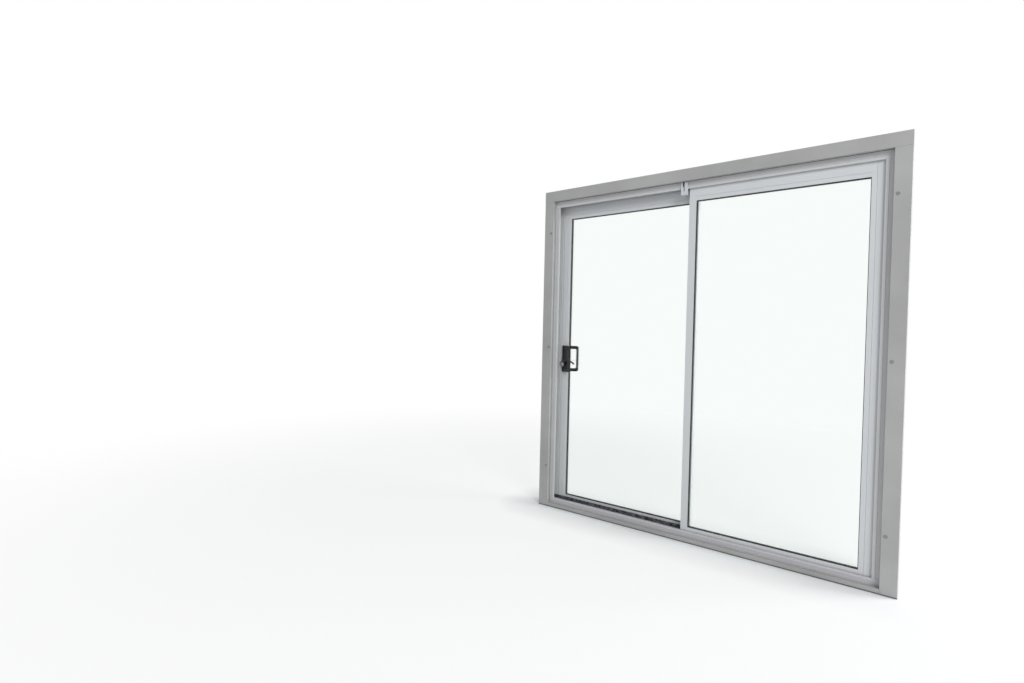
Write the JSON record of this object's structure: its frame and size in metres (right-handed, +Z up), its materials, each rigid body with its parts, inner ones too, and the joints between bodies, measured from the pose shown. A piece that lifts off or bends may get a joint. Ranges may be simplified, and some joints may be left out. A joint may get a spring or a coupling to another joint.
{
  "type": "sliding patio door",
  "caption": "Two-panel sliding patio door: white aluminium frame on a painted timber sub-frame, a fixed glazed panel and a sliding one with a black pull and thumb lever.",
  "frame": {"origin": "on the floor line under the sill, midway along it and under the middle fin of the frame", "axes": "+X along the door towards the fixed panel's jamb, +Y outdoors, +Z up"},
  "size_m": [2.03, 0.171, 2.165],
  "materials": {
    "painted_timber": "satin white paint on planed softwood",
    "white_aluminium": "white powder coat, satin",
    "clear_glass": "polished clear float glass",
    "spacer_bar": "mill finish, perforated on the cavity side",
    "black_rubber": "matt extruded rubber",
    "grey_pile": "woven pile brush",
    "black_handle": "black powder coat, satin",
    "white_plastic": "moulded nylon",
    "zinc_steel": "zinc-plated pressed steel"
  },
  "bodies": {
    "frame": {"subframe_left_jamb": "painted_timber", "subframe_right_jamb": "painted_timber", "subframe_head": "painted_timber", "threshold_strip": "painted_timber", "frame_head": "white_aluminium", "head_fins": "white_aluminium", "frame_sill": "white_aluminium", "sill_upstands": "white_aluminium", "frame_left_jamb": "white_aluminium", "left_jamb_fins": "white_aluminium", "frame_right_jamb": "white_aluminium", "right_jamb_fins": "white_aluminium", "head_pile_seals": "grey_pile", "sill_pile_seals": "grey_pile", "left_jamb_pile_seals": "grey_pile", "right_jamb_pile_seals": "grey_pile", "head_end_block": "white_plastic", "keeper": "zinc_steel", "fixed_meeting_stile": "white_aluminium", "fixed_interlock": "white_aluminium", "fixed_side_stile": "white_aluminium", "fixed_top_rail": "white_aluminium", "fixed_bottom_rail": "white_aluminium", "fixed_panel_blocks": "white_plastic", "fixed_panel_packers": "white_plastic", "fixed_inner_pane": "clear_glass", "fixed_outer_pane": "clear_glass", "fixed_spacer": "spacer_bar", "fixed_gasket": "black_rubber"},
    "sliding_panel": {"sliding_meeting_stile": "white_aluminium", "sliding_interlock": "white_aluminium", "sliding_side_stile": "white_aluminium", "sliding_top_rail": "white_aluminium", "sliding_bottom_rail": "white_aluminium", "roller_carriages": "zinc_steel", "roller_wheels": "white_plastic", "anti_lift_blocks": "white_plastic", "inside_handle": "black_handle", "outside_handle": "black_handle", "edge_lock": "zinc_steel", "sliding_inner_pane": "clear_glass", "sliding_outer_pane": "clear_glass", "sliding_spacer": "spacer_bar", "sliding_gasket": "black_rubber"},
    "lever": {"latch_lever": "black_handle"}
  },
  "joints": [
    {"name": "panel_slide", "type": "slide", "parent": "frame", "child": "sliding_panel", "axis": [1, 0, 0], "range_m": [0, 0.75]},
    {"name": "latch_turn", "type": "hinge", "parent": "sliding_panel", "child": "lever", "pos_m": [-0.883, -0.01175, 1.003], "axis": [0, -1, 0], "range_deg": [0, 40]}
  ]
}
